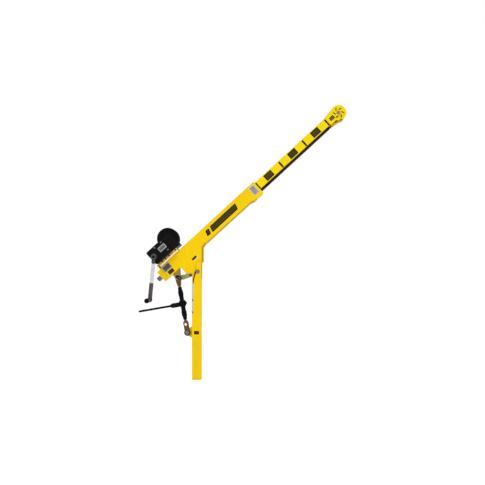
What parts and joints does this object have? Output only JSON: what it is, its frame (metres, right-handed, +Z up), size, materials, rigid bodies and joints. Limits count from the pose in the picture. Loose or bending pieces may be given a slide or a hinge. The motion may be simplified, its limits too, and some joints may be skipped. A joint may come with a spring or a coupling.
{
  "type": "telescoping davit crane",
  "caption": "Portable davit crane: square mast, ratchet-jack luffing boom with a screw-driven telescoping extension and sheave, and a geared hand winch.",
  "frame": {"origin": "centre of the mast's lower end, on the axis of the socket that turns on the base's post", "axes": "+Z up the mast, +X towards the boom's tip, +Y to the boom's left, away from the crank"},
  "size_m": [1.6739, 0.3, 2.2029],
  "materials": {
    "yellow_paint": "glossy safety-yellow powder coat",
    "black_paint": "semi-gloss black powder coat",
    "zinc": "bright zinc plating",
    "yellow_zinc": "yellow chromate zinc plating",
    "bearing_bronze": "turned bronze",
    "wear_plastic": "black low-friction plastic",
    "grip_plastic": "moulded black plastic",
    "black_oxide": "forged and black-oxide steel"
  },
  "bodies": {
    "mast": {"mast_tube": "yellow_paint", "lower_socket_bush": "wear_plastic", "upper_socket_bush": "wear_plastic", "mast_jack_lug": "yellow_paint", "pivot_pin": "zinc", "lower_jack_bolt": "zinc"},
    "boom": {"side_plate_near": "yellow_paint", "side_plate_far": "yellow_paint", "boom_top_plate": "yellow_paint", "boom_bottom_plate": "yellow_paint", "gusset_front_plate": "yellow_paint", "pivot_tube": "yellow_paint", "heel_bulkhead": "yellow_paint", "heel_stub": "yellow_paint", "heel_bush": "bearing_bronze", "mouth_pads": "wear_plastic", "jack_cheeks": "yellow_zinc", "jack_strap": "zinc", "upper_jack_pin": "zinc", "winch_bracket": "yellow_zinc", "bracket_spacer": "zinc", "winch_base": "black_paint", "winch_side_near": "black_paint", "winch_side_far": "black_paint", "gear_cover": "black_paint", "winch_fasteners": "zinc", "drum_axle": "black_oxide", "ratchet_wheel": "zinc", "pawl_pin": "zinc"},
    "extension": {"inner_tube": "yellow_paint", "wear_strip": "wear_plastic", "tail_pads": "wear_plastic", "screw_nut": "bearing_bronze", "head_cheeks": "yellow_paint", "head_guard": "yellow_paint", "sheave_bolt": "zinc", "rope_keepers": "zinc"},
    "extension_screw": {"extension_screw": "zinc"},
    "sheave": {"sheave": "wear_plastic", "sheave_bush": "bearing_bronze"},
    "drum": {"winch_drum": "black_paint", "drum_flanges": "black_paint", "drum_gear": "black_oxide"},
    "intermediate": {"intermediate_gear": "zinc", "intermediate_pinion": "zinc"},
    "crank": {"crank_shaft": "zinc", "brake_discs": "bearing_bronze", "crank_arm": "zinc", "crank_hub": "black_paint", "crank_sleeve": "grip_plastic", "crank_bolt": "zinc"},
    "grip": {"crank_grip": "grip_plastic"},
    "pawl": {"winch_pawl": "zinc"},
    "jack_lower": {"lower_jack_jaw": "yellow_zinc"},
    "jack_barrel": {"jack_barrel": "black_oxide"},
    "jack_handle": {"ratchet_head": "black_oxide", "handle_socket": "grip_plastic", "handle_rod": "black_oxide"},
    "reversing_knob": {"reversing_knob": "zinc"},
    "jack_upper": {"upper_jack_eye": "yellow_zinc"}
  },
  "joints": [
    {"name": "boom_luff", "type": "hinge", "parent": "mast", "child": "boom", "pos_m": [0.008, 0, 0.867], "axis": [0, 1, 0], "range_deg": [-2.4, 42.6]},
    {"name": "jack_swing", "type": "hinge", "parent": "mast", "child": "jack_lower", "pos_m": [-0.077, 0, 0.3745], "axis": [0, 1, 0], "range_deg": [-1, 4]},
    {"name": "lower_screw", "type": "slide", "parent": "jack_lower", "child": "jack_barrel", "axis": [-0.171, 0, 0.9853], "range_m": [-0.005, 0.062]},
    {"name": "upper_screw", "type": "slide", "parent": "jack_barrel", "child": "jack_upper", "axis": [-0.171, 0, 0.9853], "range_m": [-0.005, 0.062]},
    {"name": "handle_stroke", "type": "hinge", "parent": "jack_barrel", "child": "jack_handle", "pos_m": [-0.11684, 0, 0.60407], "axis": [-0.171, 0, 0.9853], "range_deg": [-40, 40]},
    {"name": "knob_turn", "type": "hinge", "parent": "jack_handle", "child": "reversing_knob", "pos_m": [-0.08616, 0, 0.61447], "axis": [0.9853, 0, 0.171], "range_deg": [0, 180]},
    {"name": "boom_extend", "type": "slide", "parent": "boom", "child": "extension", "axis": [0.7361, 0, 0.6769], "range_m": [-0.762, 0]},
    {"name": "screw_turn", "type": "hinge", "parent": "boom", "child": "extension_screw", "pos_m": [-0.10572, 0, 0.99066], "axis": [0.7361, 0, 0.6769], "continuous": true},
    {"name": "sheave_spin", "type": "hinge", "parent": "extension", "child": "sheave", "pos_m": [1.13926, 0, 2.14091], "axis": [0, 1, 0], "continuous": true},
    {"name": "drum_spin", "type": "hinge", "parent": "boom", "child": "drum", "pos_m": [-0.23008, 0, 1.13034], "axis": [0, 1, 0], "continuous": true},
    {"name": "intermediate_spin", "type": "hinge", "parent": "boom", "child": "intermediate", "pos_m": [-0.27572, 0, 1.02261], "axis": [0, 1, 0], "continuous": true},
    {"name": "crank_spin", "type": "hinge", "parent": "boom", "child": "crank", "pos_m": [-0.32414, 0, 0.98], "axis": [0, 1, 0], "continuous": true},
    {"name": "grip_spin", "type": "hinge", "parent": "crank", "child": "grip", "pos_m": [-0.35624, 0, 0.64353], "axis": [0, 1, 0], "continuous": true},
    {"name": "pawl_lift", "type": "hinge", "parent": "boom", "child": "pawl", "pos_m": [-0.32557, 0, 1.03031], "axis": [0, -1, 0], "range_deg": [0, 18], "stiffness_Nm_per_rad": 0.2, "springref_deg": -17.19}
  ],
  "couplings": [
    {"joint": "jack_swing", "follows": "boom_luff", "ratio": 0.065},
    {"joint": "lower_screw", "follows": "boom_luff", "m_per_rad": 0.08075},
    {"joint": "upper_screw", "follows": "boom_luff", "m_per_rad": 0.08075},
    {"joint": "screw_turn", "follows": "boom_extend", "rad_per_m": 523.6},
    {"joint": "intermediate_spin", "follows": "drum_spin", "ratio": -2.5455},
    {"joint": "crank_spin", "follows": "drum_spin", "ratio": 5.8741}
  ]
}
